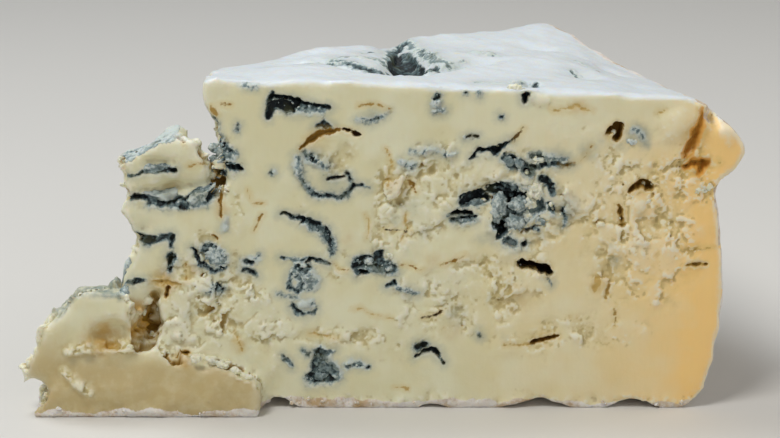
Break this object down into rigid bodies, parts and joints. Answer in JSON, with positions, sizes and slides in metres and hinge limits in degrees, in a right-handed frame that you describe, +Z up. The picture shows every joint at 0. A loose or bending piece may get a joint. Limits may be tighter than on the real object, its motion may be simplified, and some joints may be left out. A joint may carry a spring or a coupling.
{
  "type": "blue cheese wedge",
  "caption": "Wedge cut from a wheel of blue-veined cheese, with a crumbly broken nose, sunken top and slumped rind edge.",
  "frame": {"origin": "middle of the bounding box's underside, on the flat rind that the wedge stands on", "axes": "+X from the broken nose towards the rind at the wheel's rim, -Y towards the near cut face, +Z up out of the wheel's top"},
  "size_m": [0.1594, 0.0974, 0.0757],
  "materials": {
    "blue_cheese": "moist, creamy ivory paste with blue-green mould veins, satin"
  },
  "bodies": {
    "root": {"cheese_wedge": "blue_cheese"}
  },
  "joints": []
}
